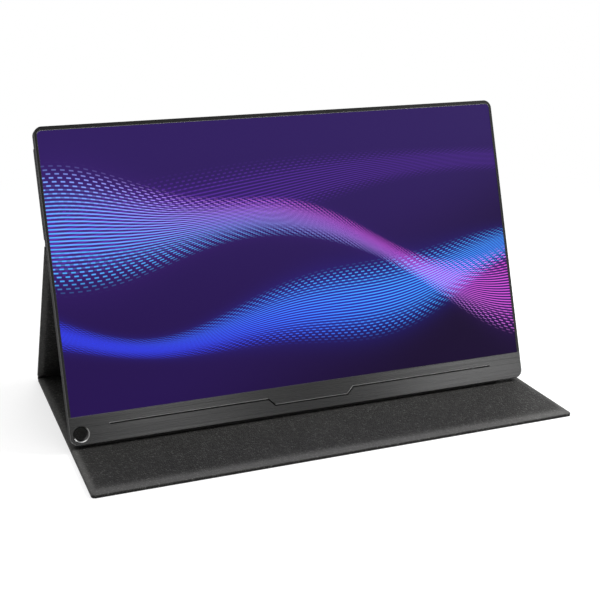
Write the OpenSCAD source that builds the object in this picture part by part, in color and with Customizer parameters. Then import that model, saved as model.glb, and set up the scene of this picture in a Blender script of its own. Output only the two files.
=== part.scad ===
// Portable monitor standing on its folding magnetic cover.
// X runs along the screen, Y to the back and Z up. The origin lies on the
// table, under the middle of the cover's footprint. All sizes are in mm.

/* [Monitor housing] */
// Width of the housing
mon_w = 355; // [345:1:375]
// Height of the housing
mon_h = 220; // [212:1:235]
// Thickness of the housing
mon_t = 8.5; // [8.4:0.1:10]
// Corner radius of the housing's outline
corner_r = 6; // [4:0.5:9]
// Backward lean of the screen in degrees
tilt = 18.3; // [14:0.1:24]
// Thickness of the front bezel
bezel_t = 1.8; // [1.5:0.1:2.1]
// Bevel round the bezel's front edge
edge_bevel = 0.5; // [0.2:0.1:0.9]
// Wall of the rear shell
shell_wall = 1.4; // [1:0.1:1.8]
// Thickness of the rear shell's back
back_t = 1.2; // [0.9:0.1:1.6]
// Rounding of the rear shell's edge
back_round = 1.5; // [0.6:0.1:2]

/* [Picture opening] */
// Width of the bezel beside the picture
side_bezel = 2.25; // [1.9:0.05:4]
// Height of the bezel above the picture
top_bezel = 3; // [2:0.1:6]
// Height of the chin below the picture
chin_h = 19.9; // [18:0.1:26]
// Corner radius of the picture opening
window_r = 3; // [1:0.5:5]
// Depth of the bezel's lip over the glass
lip_t = 0.5; // [0.4:0.1:0.8]
// Bevel round the picture opening
lip_bevel = 0.3; // [0.1:0.05:0.35]

/* [Chin] */
// Distance of the engraved line's ends from the housing's sides
line_side = 28.5; // [18:0.5:60]
// Height of the line's outer stretches
line_high = 12.2; // [9:0.1:15]
// Height of the line's middle stretch
line_low = 7.2; // [4:0.1:8.5]
// Half length of the middle stretch
line_mid = 28.5; // [15:0.5:60]
// Run of each slanted stretch
line_step = 5; // [2:0.5:10]
// Width of the engraved line
line_w = 0.9; // [0.4:0.1:1.5]
// Depth of the engraved line
line_d = 0.5; // [0.2:0.1:0.8]
// Distance of the pen hole's axis from the housing's left edge
pen_x = 8; // [7.8:0.1:14]
// Height of the pen hole's axis above the lower edge
pen_h = 7.8; // [7.6:0.1:10]
// Radius of the pen hole's bore
pen_r = 4.75; // [3.5:0.05:4.9]
// Wall of the metal ring that lines the pen hole
pen_wall = 1; // [0.8:0.1:1.3]

/* [Display module] */
// Thickness of the glass cell
cell_t = 1.3; // [1:0.1:1.3]
// Thickness of the optical films
films_t = 0.4; // [0.2:0.1:0.6]
// Thickness of the light guide
guide_t = 0.6; // [0.4:0.1:0.8]
// Thickness of the reflector sheet
reflector_t = 0.2; // [0.1:0.05:0.3]
// Thickness of the module's metal tray
tray_t = 0.4; // [0.3:0.1:0.5]
// Height of the module's lower edge above the housing's lower edge
module_low = 14.2; // [13.6:0.1:16]
// Thickness of the flexible circuits
flex_t = 0.1; // [0.05:0.05:0.15]

/* [Electronics] */
// Thickness of a circuit board
board_pcb_t = 0.8; // [0.6:0.1:1]
// Width of the main board
main_w = 51; // [45:1:60]
// Margin of the main board below the display socket and above the power button
main_margin = 10; // [8:0.5:12]
// Height of the display socket above the lower edge
hdmi_h = 52; // [50:1:56]
// Distance from the display socket to the lower USB socket
usb_rise = 18; // [15:1:20]
// Distance between the two USB sockets
usb_pitch = 16; // [12:1:18]
// Distance from the upper USB socket to the menu wheel's axle
wheel_rise = 20; // [16:1:24]
// Distance from the menu wheel's axle to the power button's middle
power_rise = 20; // [16:1:24]
// Height of the earphone socket's axis
jack_h = 9.5; // [9:0.1:10.5]
// Length of a speaker box
speaker_w = 34; // [24:1:36]
// Height of a speaker box
speaker_h = 12; // [8:1:14]
// Travel of the power button
power_travel = 0.4; // [0.2:0.1:0.5]
// Radius of the menu wheel
wheel_r = 4.5; // [4:0.1:5]

/* [Cover] */
// How much longer the front cover is than the housing is high
cover_over = 2; // [-4:0.5:16]
// Width of the spine strip beside the rear fold
spine_w = 12; // [8:1:16]
// Thickness of the cover leather
leather_t = 0.7; // [0.5:0.1:0.9]
// Thickness of the stiffener boards
stiff_t = 1.4; // [1.2:0.1:1.8]
// Thickness of the inner lining
lining_t = 0.7; // [0.5:0.1:0.9]
// Width of the border where both sheets are welded together
border_w = 6; // [4:0.5:10]
// Fall of the inner lining from the board to the welded edge
border_fall = 0.8; // [0.3:0.1:0.9]
// Corner radius of the cover
cover_r = 4; // [2:0.5:8]
// Length of the cover in front of the monitor
front_reach = 70.2; // [50:0.5:80]
// Height on the monitor's back of the upper fold
fold_h = 140; // [130:1:150]
// Thickness of the anti-slip strips
strip_t = 0.6; // [0.4:0.1:1]
// Width of the anti-slip strips
strip_w = 5; // [3:0.5:8]
// Radius of the cover's magnets
magnet_r = 5; // [3:0.5:7]

/* [Clearances] */
// Gap between the monitor's back and the cover panel that holds it
back_gap = 0.1; // [0.05:0.05:0.3]
// Gap between the monitor's lower edge and the anti-slip strip
seat_gap = 0.15; // [0.05:0.05:0.3]
// Gap round pieces that are laid into a pocket
fit_gap = 0.2; // [0.1:0.05:0.3]
// Gap round pieces that move in an opening
slide_gap = 0.15; // [0.1:0.05:0.25]
// Gap round the pen hole's ring and the screws
ring_gap = 0.03; // [0.02:0.01:0.06]
// Gap between the wheel's bore and its axle
axle_gap = 0.05; // [0.02:0.01:0.1]

/* [Hidden] */
eps = 0.01;
arc_fn = 32;

// Cover: thickness, half crease and the fold's bead
panel_t = leather_t + stiff_t + lining_t;
board_low = leather_t - panel_t / 2;
board_top = board_low + stiff_t;
weld_z = -0.3;
crease_half = 3.2;
bead_r = 0.65;
bead_gap = 0.4;
web_t = 0.8;
web_inset = 1;
cover_w = mon_w;
cover_h = mon_h + cover_over;
edge_soft = 0.7;

// Seat of the monitor on the cover
strip_top = panel_t + strip_t;
seat_drop = sin(tilt) * (mon_t - back_round) - cos(tilt) * back_round + back_round;
seat_z = strip_top + seat_gap + seat_drop;
front_y = front_reach - cover_h / 2;
seat_y = front_y + sin(tilt) * back_round + cos(tilt) * (mon_t - back_round);

// Rear fold, upper fold and the leg between them
fold_y = cover_h / 2 - bead_r;
fold_z = panel_t / 2;
hinge_n = mon_t + back_gap + panel_t / 2;
upper_y = front_y + sin(tilt) * fold_h + cos(tilt) * hinge_n;
upper_z = seat_z + cos(tilt) * fold_h - sin(tilt) * hinge_n;
leg_len = norm([fold_y - upper_y, upper_z - fold_z]);
leg_angle = atan2(upper_z - fold_z, fold_y - upper_y);
upper_len = cover_h + spine_w - leg_len;

// Depths of the display module's layers, counted back from the bezel
cell_n = lip_t;
films_n = bezel_t + flex_t;
guide_n = films_n + films_t;
reflector_n = guide_n + guide_t;
tray_n = reflector_n + reflector_t;
module_back = tray_n + tray_t;
inner_back = mon_t - back_t;
module_w = mon_w - 2 * shell_wall - 4 * fit_gap;
module_high = mon_h - shell_wall - 2 * fit_gap;
module_corner = corner_r - 2;
tray_wall = 0.3;

// Sockets and controls stand in the gap between module and back
port_n = (module_back + inner_back) / 2;
pcb_n = port_n - board_pcb_t / 2;
side_x = mon_w / 2;
inner_x = side_x - shell_wall;
port_face = side_x - 0.6;
port_depth = 7.5;
board_edge = side_x - 9;
usb_h = hdmi_h + usb_rise;
usb_hs = [usb_h, usb_h + usb_pitch];
wheel_h = usb_h + usb_pitch + wheel_rise;
power_h = wheel_h + power_rise;
main_low = hdmi_h - main_margin;
main_high = power_h + main_margin;
usb_w = 8.94;
usb_t = 3.26;
usb_wall = 0.32;
hdmi_w = 11.2;
hdmi_t = 3.2;
hdmi_wall = 0.35;
jack_bore = 1.8;
jack_r = 2.5;
jack_n = bezel_t + 0.2 + jack_r;
power_w = 9;
power_t = 2.6;
power_proud = 0.5;
flange = 0.3;
flange_t = 0.8;
wheel_t = 2.4;
wheel_proud = 1.2;
wheel_x = side_x + wheel_proud - wheel_r;
axle_r = 0.6;
arm_t = 0.4;

// Screws through the back into the bezel's posts
screw_side = 27.5;
screw_xs = [for (i = [-1.5 : 1 : 1.5]) i * (mon_w - 2 * screw_side) / 3];
screw_h = 6.6;
screw_r = 0.75;
screw_head_r = 1.9;
pen_boss = 0.55;
screw_head_t = 1;
post_r = 2.6;

// Colours
leather = [0.17, 0.17, 0.17];
leather_dark = [0.10, 0.10, 0.10];
greyboard = [0.55, 0.50, 0.42];
metal_grey = [0.29, 0.29, 0.28];
bright_metal = [0.70, 0.70, 0.70];
shell_black = [0.08, 0.08, 0.09];
glass_violet = [0.19, 0.12, 0.39];
sheet_white = [0.93, 0.93, 0.95];
pcb_green = [0.05, 0.30, 0.18];
film_amber = [0.80, 0.50, 0.12];
plastic_black = [0.05, 0.05, 0.05];
steel = [0.62, 0.63, 0.65];

// ---- Shared shapes ----

// Rounded rectangle, centred on X, standing on Y = 0
module round_rect(w, h, r) {
    translate([-w / 2 + r, 0]) square([w - 2 * r, h]);
    translate([-w / 2, r]) square([w, h - 2 * r]);
    for (x = [-w / 2 + r, w / 2 - r], y = [r, h - r]) translate([x, y]) circle(r, $fn = 4 * arc_fn);
}

// Slot with round ends, centred, long along X
module slot(w, h) {
    square([w - h, h], center = true);
    for (s = [-1, 1]) translate([s * (w - h) / 2, 0]) circle(d = h, $fn = arc_fn);
}

// The monitor's own frame: Y is depth from the front face, Z runs up the screen
module in_monitor() translate([0, front_y, seat_z]) rotate([-tilt, 0, 0]) children();

// A 2D shape drawn on the screen's plane, made solid from depth n0 to n1
module layer(n0, n1) translate([0, n1, 0]) rotate([90, 0, 0]) linear_extrude(n1 - n0) children();

// A 2D shape drawn on the side wall (X is depth, Y is height), solid from x0 to x1
module side_layer(x0, x1) translate([x0, 0, 0]) rotate([90, 0, 90]) linear_extrude(x1 - x0) children();

// A slot on the side wall, long up the screen
module side_slot(x0, x1, h, w, t, n = port_n)
    side_layer(x0, x1) translate([n, h]) rotate(90) slot(w, t);

// Frames of the three cover panels: Y runs along the panel from its fold, Z to its inner side
module in_base() translate([0, fold_y, fold_z]) rotate([0, 0, 180]) children();
module in_leg() translate([0, fold_y, fold_z]) rotate([180 - leg_angle, 0, 0]) children();
module in_upper() translate([0, upper_y, upper_z]) rotate([90 - tilt, 0, 0]) children();

// Panel outline from y0 to y1, inset at the sides, with round corners at the far end
module panel_2d(y0, y1, inset, far_r) {
    half = cover_w / 2 - inset;
    r = max(far_r - inset, 0.2);
    translate([-half, y0]) square([2 * half, y1 - r - y0]);
    translate([-half + r, y0]) square([2 * (half - r), y1 - y0]);
    for (s = [-1, 1]) translate([s * (half - r), y1 - r]) circle(r, $fn = arc_fn);
}

// Where a board ends: at the border of a free edge, or behind the leather at a fold
function board_near(y0) = y0 + leather_t;
function board_far(y1, far_free) = y1 - (far_free ? border_w : leather_t);
function far_round(far_free) = far_free ? cover_r : 0.4;

// Outer sheet of one panel, with a flat pocket for the board. It is the lower half of the
// welded border, and at a fold it rises to the fold's web.
module panel_leather(y0, y1, far_free) {
    far_r = far_round(far_free);
    difference() {
        union() {
            hull() {
                translate([0, 0, edge_soft - panel_t / 2]) linear_extrude(weld_z - edge_soft + panel_t / 2)
                    panel_2d(y0, y1, 0, far_r);
                translate([0, 0, -panel_t / 2]) linear_extrude(eps)
                    panel_2d(y0 + edge_soft, y1 - edge_soft, edge_soft, far_r);
            }
            for (y = far_free ? [y0] : [y0, y1 - leather_t]) translate([0, 0, weld_z - eps])
                linear_extrude(web_t / 2 - weld_z + eps) translate([web_inset - cover_w / 2, y])
                    square([cover_w - 2 * web_inset, leather_t]);
        }
        translate([0, 0, board_low]) linear_extrude(panel_t)
            panel_2d(board_near(y0), board_far(y1, far_free), border_w, far_r);
    }
}

// Thin leather web that reaches from a panel to its fold axis at y = 0
module fold_web(with_bead) {
    half = cover_w / 2 - web_inset;
    difference() {
        translate([-half, 0, -web_t / 2]) cube([2 * half, crease_half + leather_t / 2, web_t]);
        if (!with_bead) translate([-half - 1, 0, 0]) rotate([0, 90, 0])
            cylinder(r = bead_r + bead_gap, h = 2 * half + 2, $fn = arc_fn);
    }
    if (with_bead) translate([-half, 0, 0]) rotate([0, 90, 0])
        cylinder(r = bead_r, h = 2 * half, $fn = arc_fn);
}

// Stiffener board laid into the leather's pocket
module panel_stiffener(y0, y1, far_r) {
    translate([0, 0, board_low]) linear_extrude(stiff_t)
        panel_2d(y0 + fit_gap, y1 - fit_gap, border_w + fit_gap, far_r);
}

// Inner sheet: flat on the board, and falling to the weld in the border
module panel_lining(y0, y1, far_free) {
    far_r = far_round(far_free);
    near = board_near(y0) + fit_gap;
    far = far_free ? y1 : y1 - leather_t - fit_gap;
    flat_far = far_free ? y1 - border_w : far;
    difference() {
        hull() {
            translate([0, 0, weld_z]) linear_extrude(panel_t / 2 - border_fall - weld_z)
                panel_2d(near, far, 0, far_r);
            translate([0, 0, board_top]) linear_extrude(lining_t)
                panel_2d(near, flat_far, border_w, far_r);
        }
        translate([0, 0, -panel_t]) linear_extrude(panel_t + board_top)
            panel_2d(near - 1, far_free ? flat_far : far + 1, border_w, far_r);
    }
}

// ---- Front cover, which lies on the table as the foot ----

base_len = cover_h - bead_r;
base_magnet_ys = [base_len - 14];
base_magnet_xs = [for (i = [-2.5 : 1 : 2.5]) i * cover_w / 6.6];

module base_skin() color(leather) in_base() {
    panel_leather(crease_half, base_len, true);
    fold_web(true);
}

module base_board() color(greyboard) in_base() difference() {
    panel_stiffener(board_near(crease_half), board_far(base_len, true), cover_r);
    for (x = base_magnet_xs, y = base_magnet_ys) translate([x, y, -stiff_t])
        cylinder(r = magnet_r + fit_gap, h = 2 * stiff_t, $fn = arc_fn);
}

module base_lining() color(leather_dark) in_base() panel_lining(crease_half, base_len, true);

// Two strips under the monitor's lower edge, one for each standing angle
strip_pitch = 15;
module seat_strips() color(plastic_black) in_base()
    for (i = [0, 1]) translate([-cover_w / 2 + 3 * border_w,
            fold_y - seat_y - i * strip_pitch - strip_w / 2, panel_t / 2])
        cube([cover_w - 6 * border_w, strip_w, strip_t]);

module base_magnets() color(steel) in_base()
    for (x = base_magnet_xs, y = base_magnet_ys) translate([x, y, board_low])
        cylinder(r = magnet_r, h = stiff_t, $fn = arc_fn);

// ---- Leg with the spine strip at its foot ----

leg_far = leg_len - crease_half;
spine_end = spine_w;
spine_gap = 1.5;

module leg_skin() color(leather) in_leg() {
    panel_leather(crease_half, leg_far, false);
    fold_web(false);
    translate([0, leg_len, 0]) rotate([180, 0, 0]) fold_web(true);
}

module leg_board() color(greyboard) in_leg()
    panel_stiffener(spine_end + spine_gap, board_far(leg_far, false), 0.4);

module spine_board() color(greyboard) in_leg()
    panel_stiffener(board_near(crease_half), spine_end, 0.4);

module leg_lining() color(leather_dark) in_leg() panel_lining(crease_half, leg_far, false);

// ---- Upper panel, held on the monitor's back by magnets ----

magnet_cols = 6;
upper_magnet_xs = [for (i = [0 : magnet_cols - 1]) (i - (magnet_cols - 1) / 2) * cover_w / 8];
upper_magnet_ys = [upper_len * 0.33, upper_len * 0.67];

module upper_skin() color(leather) in_upper() {
    panel_leather(crease_half, upper_len, true);
    fold_web(false);
}

module upper_board() color(greyboard) in_upper() difference() {
    panel_stiffener(board_near(crease_half), board_far(upper_len, true), cover_r);
    for (x = upper_magnet_xs, y = upper_magnet_ys) translate([x, y, -stiff_t])
        cylinder(r = magnet_r + fit_gap, h = 2 * stiff_t, $fn = arc_fn);
}

module upper_lining() color(leather_dark) in_upper() panel_lining(crease_half, upper_len, true);

module upper_magnets() color(steel) in_upper()
    for (x = upper_magnet_xs, y = upper_magnet_ys) translate([x, y, board_low])
        cylinder(r = magnet_r, h = stiff_t, $fn = arc_fn);

// ---- Front bezel with the chin ----

// Centre line of the engraved chin line
line_half = mon_w / 2 - line_side;
line_pts = [
    [-line_half, line_high], [-line_mid - line_step, line_high], [-line_mid, line_low],
    [line_mid, line_low], [line_mid + line_step, line_high], [line_half, line_high]
];

module chin_line_2d() {
    for (i = [0 : len(line_pts) - 2]) {
        a = line_pts[i];
        b = line_pts[i + 1];
        translate(a) rotate(atan2(b.y - a.y, b.x - a.x)) translate([0, -line_w / 2])
            square([norm(b - a), line_w]);
    }
    for (p = line_pts) translate(p) circle(d = line_w, $fn = 16);
}

module at_pen_hole() translate([-mon_w / 2 + pen_x, 0, pen_h]) rotate([-90, 0, 0]) children();

// Picture opening: round upper corners, square lower ones at the chin
module window_2d(grow) {
    w = mon_w - 2 * side_bezel + 2 * grow;
    h = mon_h - top_bezel - chin_h + 2 * grow;
    translate([0, chin_h - grow]) {
        round_rect(w, h, window_r + grow);
        translate([-w / 2, 0]) square([w, 2 * window_r]);
    }
}

module front_bezel() color(metal_grey) in_monitor() difference() {
    union() {
        hull() {
            layer(edge_bevel, bezel_t) round_rect(mon_w, mon_h, corner_r);
            translate([0, 0, edge_bevel]) layer(0, bezel_t)
                round_rect(mon_w - 2 * edge_bevel, mon_h - 2 * edge_bevel, corner_r - edge_bevel);
        }
        for (x = screw_xs) translate([x, bezel_t - eps, screw_h]) rotate([-90, 0, 0])
            cylinder(r = post_r, h = inner_back - bezel_t + eps, $fn = arc_fn);
    }
    layer(-1, bezel_t + 1) window_2d(0);
    hull() {
        layer(-eps, eps) window_2d(lip_bevel);
        layer(lip_bevel - eps, lip_bevel) window_2d(0);
    }
    layer(lip_t, bezel_t + 1) module_2d(-fit_gap);
    layer(-1, line_d) chin_line_2d();
    translate([0, -1, 0]) at_pen_hole() cylinder(r = pen_r + pen_wall + ring_gap, h = bezel_t + 2, $fn = 64);
    for (x = screw_xs) translate([x, inner_back - 4, screw_h]) rotate([-90, 0, 0])
        cylinder(r = screw_r + ring_gap, h = 4 + eps, $fn = 24);
}

// Turned metal ring that lines the pen hole from face to face
module pen_hole_ring() color(bright_metal) in_monitor() at_pen_hole() rotate_extrude($fn = 64)
    polygon([
        [pen_r, pen_wall * 0.9], [pen_r + pen_wall * 0.9, 0], [pen_r + pen_wall, 0],
        [pen_r + pen_wall, mon_t], [pen_r + pen_wall * 0.4, mon_t], [pen_r, mon_t - pen_wall * 0.4]
    ]);

// ---- Display module ----

// Outline of a layer of the module: square lower corners, round upper ones
module module_2d(inset, low = module_low) {
    w = module_w - 2 * inset;
    top = module_high - inset;
    r = module_corner - inset;
    translate([-w / 2, low + inset]) square([w, top - low - inset - r]);
    translate([-w / 2 + r, top - r - eps]) square([w - 2 * r, r + eps]);
    for (s = [-1, 1]) translate([s * (w / 2 - r), top - r]) circle(r, $fn = 4 * arc_fn);
}

module lcd_cell() color(glass_violet) in_monitor() layer(cell_n, cell_n + cell_t) module_2d(0);

module optical_films() color(sheet_white) in_monitor()
    layer(films_n, films_n + films_t) module_2d(tray_wall + fit_gap / 2);

led_h = 2;
guide_low = module_low + tray_wall + led_h;

module light_guide() color(sheet_white) in_monitor()
    layer(guide_n, guide_n + guide_t) module_2d(tray_wall + fit_gap / 2, guide_low);

module led_strip() color(film_amber) in_monitor() layer(guide_n, guide_n + guide_t)
    translate([-module_w / 2 + tray_wall + fit_gap, module_low + tray_wall + fit_gap / 2])
        square([module_w - 2 * (tray_wall + fit_gap), led_h - fit_gap / 2]);

module reflector_sheet() color(sheet_white) in_monitor()
    layer(reflector_n, reflector_n + reflector_t) module_2d(tray_wall + fit_gap / 2);

module display_tray() color(steel) in_monitor() difference() {
    layer(films_n, module_back) module_2d(0);
    layer(films_n - 1, tray_n) module_2d(tray_wall);
}

// Driver board in the chin
panel_board_side = 62.5;
panel_board_w = mon_w - 2 * panel_board_side;
panel_board_low = 2.6;
panel_board_high = 12.6;
plug_w = 10;
plug_h = 7;
plug_side = 35;
plug_low = panel_board_low + 1.5;
plug_xs = [plug_side - panel_board_w / 2, -plug_w, panel_board_w / 2 - plug_side];

// Bonded flexible circuits from the cell's lower edge to the driver board
flex_n = 6;
flex_w = 26;
flex_side = 25;
flex_pitch = (panel_board_w - 2 * flex_side) / (flex_n - 1);
flex_low = 9.6;

module panel_flex() color(film_amber) in_monitor() layer(bezel_t, bezel_t + flex_t)
    for (i = [0 : flex_n - 1]) translate([(i - (flex_n - 1) / 2) * flex_pitch - flex_w / 2, flex_low])
        square([flex_w, module_low + tray_wall - flex_low]);

module panel_board() color(pcb_green) in_monitor() difference() {
    union() {
        layer(films_n, films_n + board_pcb_t) translate([-panel_board_w / 2, panel_board_low])
            square([panel_board_w, panel_board_high - panel_board_low]);
        for (x = plug_xs) layer(films_n + board_pcb_t - eps, films_n + board_pcb_t + 0.9)
            translate([x - plug_w / 2, plug_low]) square([plug_w, plug_h]);
    }
    for (x = screw_xs) translate([x, 0, screw_h]) rotate([-90, 0, 0])
        cylinder(r = post_r + 2 * fit_gap, h = mon_t, $fn = arc_fn);
}

// ---- Main board, its shield and the sockets on the right side ----

main_x0 = board_edge - main_w;
foot_w = 12;
foot_low = 4;

module main_board() color(pcb_green) in_monitor() difference() {
    layer(pcb_n, pcb_n + board_pcb_t) {
        translate([main_x0, main_low]) square([main_w, main_high - main_low]);
        translate([board_edge - foot_w, foot_low]) square([foot_w, main_low - foot_low + eps]);
    }
    for (h = usb_hs) side_layer(port_face - port_depth - fit_gap, side_x)
        translate([0, h - usb_w / 2 - fit_gap]) square([mon_t, usb_w + 2 * fit_gap]);
    side_layer(port_face - port_depth - fit_gap, side_x)
        translate([0, hdmi_h - hdmi_w / 2 - fit_gap]) square([mon_t, hdmi_w + 2 * fit_gap]);
    side_layer(port_face - jack_len - fit_gap, side_x)
        translate([0, jack_h - jack_r - fit_gap]) square([mon_t, 2 * (jack_r + fit_gap)]);
}

// Pressed shield over the video processor
shield_w = 30;
shield_h = 34;
shield_in = 4;
shield_up = 24;
shield_x = main_x0 + shield_in;
shield_low = main_low + shield_up;
shield_wall = 0.25;
shield_rise = inner_back - (pcb_n + board_pcb_t) - fit_gap;

module scaler_shield() color(steel) in_monitor() translate([0, pcb_n + board_pcb_t, 0]) difference() {
    layer(0, shield_rise) translate([shield_x, shield_low]) square([shield_w, shield_h]);
    layer(-1, shield_rise - shield_wall) translate([shield_x + shield_wall, shield_low + shield_wall])
        square([shield_w - 2 * shield_wall, shield_h - 2 * shield_wall]);
}

// Metal shell with a contact tongue on a socket's axis
module usb_socket(h) {
    difference() {
        side_slot(port_face - port_depth, port_face, h, usb_w, usb_t);
        side_slot(port_face - 6.2, port_face + 1, h, usb_w - 2 * usb_wall, usb_t - 2 * usb_wall);
    }
    side_layer(port_face - 6.3, port_face - 0.6) translate([port_n - 0.35, h - 3.35]) square([0.7, 6.7]);
}

module usb_c_sockets() color(bright_metal) in_monitor() for (h = usb_hs) usb_socket(h);

// Outline of the display socket, with its two cut corners towards the back
module hdmi_2d(grow) {
    w = hdmi_w / 2 + grow;
    t = hdmi_t / 2 + grow;
    cut = 1.2;
    polygon([[-t, -w], [t - cut, -w], [t, -w + cut], [t, w - cut], [t - cut, w], [-t, w]]);
}

module hdmi_socket() color(bright_metal) in_monitor() {
    difference() {
        side_layer(port_face - port_depth, port_face) translate([port_n, hdmi_h]) hdmi_2d(0);
        side_layer(port_face - 6, port_face + 1) translate([port_n, hdmi_h]) hdmi_2d(-hdmi_wall);
    }
    side_layer(port_face - 6.1, port_face - 0.8)
        translate([port_n - 0.4, hdmi_h - 3.8]) square([0.7, 7.6]);
}

// Earphone socket in the corner below the display module
jack_len = 13;
module earphone_socket() color(plastic_black) in_monitor() difference() {
    union() {
        translate([port_face - jack_len, jack_n, jack_h]) rotate([0, 90, 0])
            cylinder(r = jack_r, h = jack_len, $fn = 48);
        side_layer(inner_x - fit_gap - 9, inner_x - fit_gap)
            translate([jack_n - jack_r, jack_h - jack_r]) square([2 * jack_r, 2 * jack_r]);
    }
    translate([side_x - jack_len + 1, jack_n, jack_h]) rotate([0, 90, 0])
        cylinder(r = jack_bore, h = jack_len, $fn = 48);
}

// ---- Speakers ----

speaker_low = 19;
speaker_side = 41.5;
speaker_shift = 5;
left_speaker_x = speaker_side - mon_w / 2;
right_speaker_x = mon_w / 2 - speaker_side - speaker_shift;
speaker_t = inner_back - module_back - 2 * fit_gap;

module speaker_box() {
    translate([0, module_back + fit_gap, 0]) layer(0, speaker_t) translate([0, speaker_low])
        round_rect(speaker_w, speaker_h, 2);
    layer(inner_back - fit_gap - eps, inner_back) translate([0, speaker_low + speaker_h / 2]) difference() {
        slot(speaker_w - 3, speaker_h - 2);
        slot(speaker_w - 7, speaker_h - 6);
    }
}

module speaker_left() color(plastic_black) in_monitor() translate([left_speaker_x, 0, 0]) speaker_box();
module speaker_right() color(plastic_black) in_monitor() translate([right_speaker_x, 0, 0]) speaker_box();

// Flat leads from the main board along the back to both speakers
lead_t = 0.5;
lead_w = 1.6;
lead_h = 36;
lead_low = speaker_low + speaker_h + fit_gap;
lead_x = main_x0 + 3;

module speaker_leads() color([0.6, 0.1, 0.1]) in_monitor() {
    layer(inner_back - lead_t, inner_back) {
        for (x = [left_speaker_x, right_speaker_x - lead_w])
            translate([x, lead_low]) square([lead_w, lead_h + lead_w - lead_low]);
        translate([left_speaker_x, lead_h]) square([right_speaker_x - left_speaker_x, lead_w]);
        translate([lead_x, lead_h]) square([lead_w, main_low + 4 - lead_h]);
    }
    layer(pcb_n + board_pcb_t, inner_back - lead_t + eps)
        translate([lead_x, main_low + 1]) square([lead_w, 3]);
}

// Flat cable from the driver board to the main board, folded once
cable_w = 14;
cable_gap = 13.5;
cable_x = main_x0 - cable_gap - cable_w;
cable_t = 0.3;
cable_foot = panel_board_high - 3;
cable_arm_low = main_low + 2;
cable_arm_w = 10;
cable_arm_in = 6;
cable_plug_w = 4;
cable_plug_h = 8;

module display_cable() color(film_amber) in_monitor() {
    layer(films_n + board_pcb_t, module_back + fit_gap + cable_t)
        translate([cable_x, cable_foot]) square([cable_w, cable_t]);
    layer(module_back + fit_gap, module_back + fit_gap + cable_t) {
        translate([cable_x, cable_foot]) square([cable_w, cable_arm_low + cable_arm_w - cable_foot]);
        translate([cable_x, cable_arm_low])
            square([main_x0 + cable_arm_in - cable_x, cable_arm_w]);
    }
    layer(module_back + fit_gap, pcb_n) translate([main_x0 + cable_arm_in - cable_plug_w,
        cable_arm_low + 1]) square([cable_plug_w, cable_plug_h]);
}

// Steel plate inside the back, which the cover's magnets hold
plate_t = 0.5;
plate_margin = 40;
plate_top = 20;
plate_rise = 6;

module steel_plate() color(steel) in_monitor() layer(inner_back - plate_t, inner_back)
    translate([-mon_w / 2 + plate_margin, fold_h + plate_rise])
        square([mon_w - 2 * plate_margin, mon_h - plate_top - fold_h - plate_rise]);

// ---- Rear shell ----

// Posts that carry the main board, and the speaker's slots
board_post_r = 2;
post_in = 4;
post_up = 18;
post_out = 14;
board_posts = [
    [main_x0 + post_in, main_low + post_up], [main_x0 + post_in, main_high - post_in],
    [board_edge - post_out, main_high - post_in], [board_edge - foot_w / 2, main_low - post_out]
];
slot_n = 7;
slot_pitch = 3.4;

module speaker_slots() for (i = [0 : slot_n - 1])
    translate([(i - (slot_n - 1) / 2) * slot_pitch, speaker_low + speaker_h / 2]) rotate(90)
        slot(speaker_h - 6, 1.2);

module rear_shell() color(shell_black) in_monitor() {
    difference() {
        hull() {
            layer(bezel_t, mon_t - back_round) round_rect(mon_w, mon_h, corner_r);
            for (a = [22.5 : 22.5 : 90]) {
                inset = back_round * (1 - cos(a));
                top = mon_t - back_round + back_round * sin(a);
                translate([0, 0, inset]) layer(top - eps, top)
                    round_rect(mon_w - 2 * inset, mon_h - 2 * inset, corner_r - inset);
            }
        }
        difference() {
            translate([0, 0, shell_wall]) layer(bezel_t - 1, inner_back)
                round_rect(mon_w - 2 * shell_wall, mon_h - 2 * shell_wall, corner_r - shell_wall);
            at_pen_hole() cylinder(r = pen_r + pen_wall + pen_boss, h = mon_t, $fn = 64);
        }
        at_pen_hole() cylinder(r = pen_r + pen_wall + ring_gap, h = mon_t + 1, $fn = 64);
        for (x = [left_speaker_x, right_speaker_x])
            layer(inner_back - 1, mon_t + 1) translate([x, 0]) speaker_slots();
        for (h = usb_hs) side_slot(inner_x - 1, side_x + 1, h, usb_w + 2 * fit_gap, usb_t + 2 * fit_gap);
        side_layer(inner_x - 1, side_x + 1) translate([port_n, hdmi_h]) hdmi_2d(fit_gap);
        side_slot(inner_x - 1, side_x + 1, power_h, power_w + 2 * slide_gap, power_t + 2 * slide_gap);
        side_slot(inner_x - 1, side_x + 1, wheel_h, 2 * wheel_r + wheel_t, wheel_t + 4 * slide_gap);
        translate([inner_x - 1, jack_n, jack_h]) rotate([0, 90, 0])
            cylinder(r = jack_r + fit_gap / 2, h = shell_wall + 2, $fn = 48);
        for (x = screw_xs) translate([x, 0, screw_h]) rotate([-90, 0, 0]) {
            cylinder(r = screw_r + fit_gap, h = mon_t + 1, $fn = 24);
            translate([0, 0, mon_t - screw_head_t])
                cylinder(r = screw_head_r + fit_gap / 2, h = screw_head_t + 1, $fn = arc_fn);
        }
    }
    for (p = board_posts) translate([p.x, pcb_n + board_pcb_t, p.y]) rotate([-90, 0, 0])
        cylinder(r = board_post_r, h = inner_back - pcb_n - board_pcb_t + eps, $fn = 24);
}

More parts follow.
